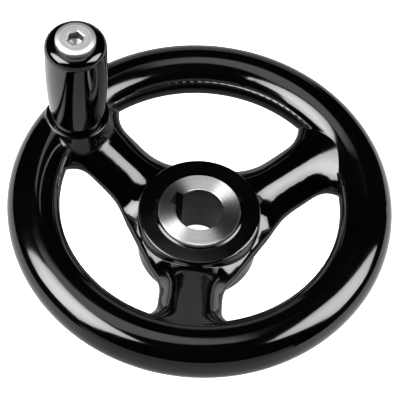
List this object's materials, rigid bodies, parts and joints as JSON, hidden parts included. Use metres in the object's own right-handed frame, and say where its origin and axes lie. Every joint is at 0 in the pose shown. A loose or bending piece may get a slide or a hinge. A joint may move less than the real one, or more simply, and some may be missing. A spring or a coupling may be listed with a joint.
{
  "type": "handwheel",
  "caption": "Dished machine handwheel with rounded spokes, a keyed steel hub bush and an upright revolving grip that stands on a spoke at the rim.",
  "frame": {"origin": "centre of the hub's lower face, which seats on the shaft shoulder", "axes": "+Z along the wheel axis from the hub's lower face towards the grip, -Y towards a spoke, grip on the spoke at 150 degrees from +X"},
  "size_m": [0.16, 0.16, 0.0962],
  "materials": {
    "moulding": "polished",
    "bush_steel": "turned",
    "insert_brass": "turned",
    "spindle_steel": "turned, bright plated",
    "grip_moulding": "polished"
  },
  "bodies": {
    "wheel": {"wheel_body": "moulding", "hub_bush": "bush_steel", "handle_insert": "insert_brass", "handle_spindle": "spindle_steel"},
    "grip": {"handle_grip": "grip_moulding"}
  },
  "joints": [
    {"name": "grip_spin", "type": "hinge", "parent": "wheel", "child": "grip", "pos_m": [-0.05508, 0.0318, 0.0694], "axis": [0, 0, 1], "continuous": true}
  ]
}
